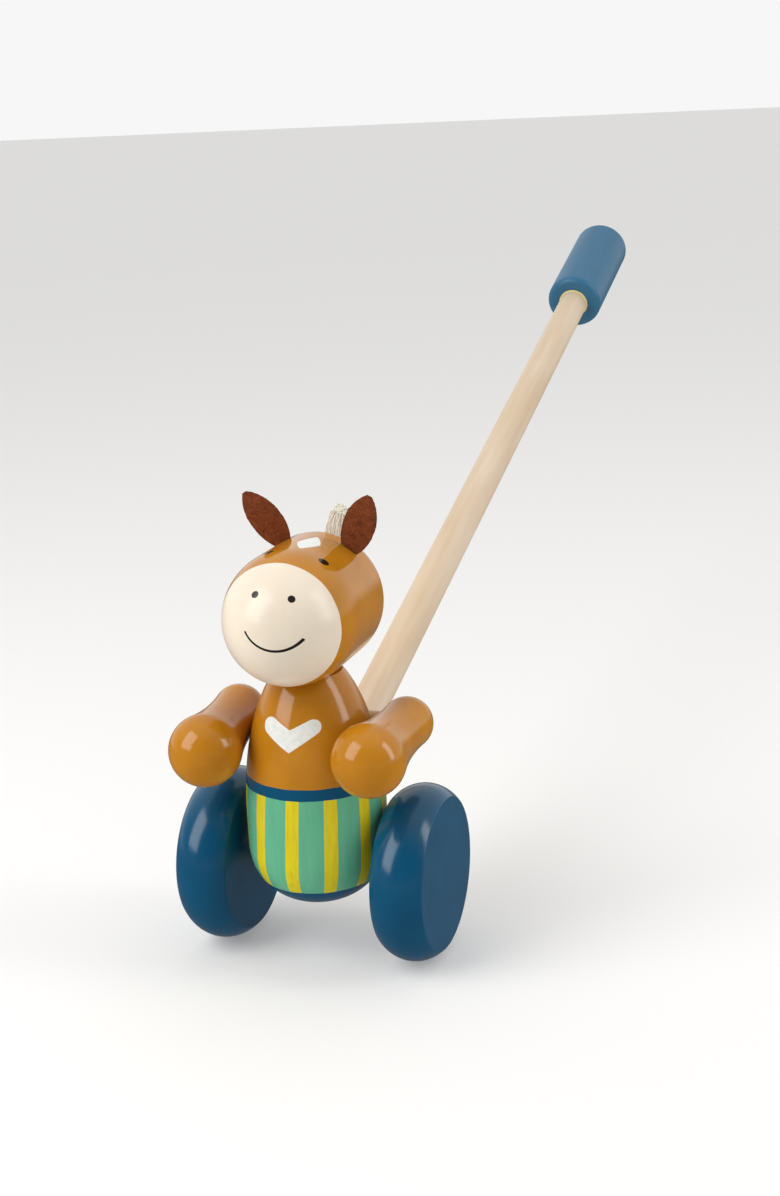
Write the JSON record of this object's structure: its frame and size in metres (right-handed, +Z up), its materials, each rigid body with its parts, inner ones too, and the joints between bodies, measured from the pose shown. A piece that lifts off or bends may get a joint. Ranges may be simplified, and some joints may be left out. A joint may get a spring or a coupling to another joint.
{
  "type": "push-along toy",
  "caption": "Painted wooden push-along pony on two wheels, with swinging arms, felt ears, a cotton mane and a long stick that ends in a round grip.",
  "frame": {"origin": "on the floor under the middle of the whole toy's bounding box, as it stands with the figure upright", "axes": "+Z up, the pony looks along -Y, the stick runs back and up along +Y, and +X is the pony's own left"},
  "size_m": [0.106, 0.5514, 0.2565],
  "materials": {
    "body_paint": "gloss enamel on turned wood: brown top, blue band, green and yellow stripes, blue base",
    "head_paint": "gloss enamel on turned wood: brown head, cream muzzle",
    "arm_paint": "gloss enamel on turned wood",
    "wheel_paint": "gloss enamel on turned wood",
    "grip_paint": "satin enamel on turned wood",
    "stick_wood": "bare sanded birch",
    "dowel_wood": "bare birch dowel",
    "ear_felt": "pressed wool felt",
    "mane_cotton": "soft cotton strands",
    "insert_brass": "turned",
    "stud_steel": "zinc plated"
  },
  "bodies": {
    "toy": {"body": "body_paint", "head": "head_paint", "neck_dowel": "dowel_wood", "left_ear": "ear_felt", "right_ear": "ear_felt", "mane": "mane_cotton", "lower_stick": "stick_wood", "upper_stick": "stick_wood", "stick_insert": "insert_brass", "stick_stud": "stud_steel", "grip": "grip_paint"},
    "wheels": {"axle": "dowel_wood", "left_wheel": "wheel_paint", "right_wheel": "wheel_paint"},
    "arms": {"shoulder_dowel": "dowel_wood", "left_arm": "arm_paint", "right_arm": "arm_paint"}
  },
  "joints": [
    {"name": "axle_spin", "type": "hinge", "parent": "toy", "child": "wheels", "pos_m": [0, -0.2264, 0.036], "axis": [1, 0, 0], "continuous": true},
    {"name": "arms_swing", "type": "hinge", "parent": "toy", "child": "arms", "pos_m": [0, -0.2214, 0.0975], "axis": [1, 0, 0], "range_deg": [-40, 4]}
  ]
}
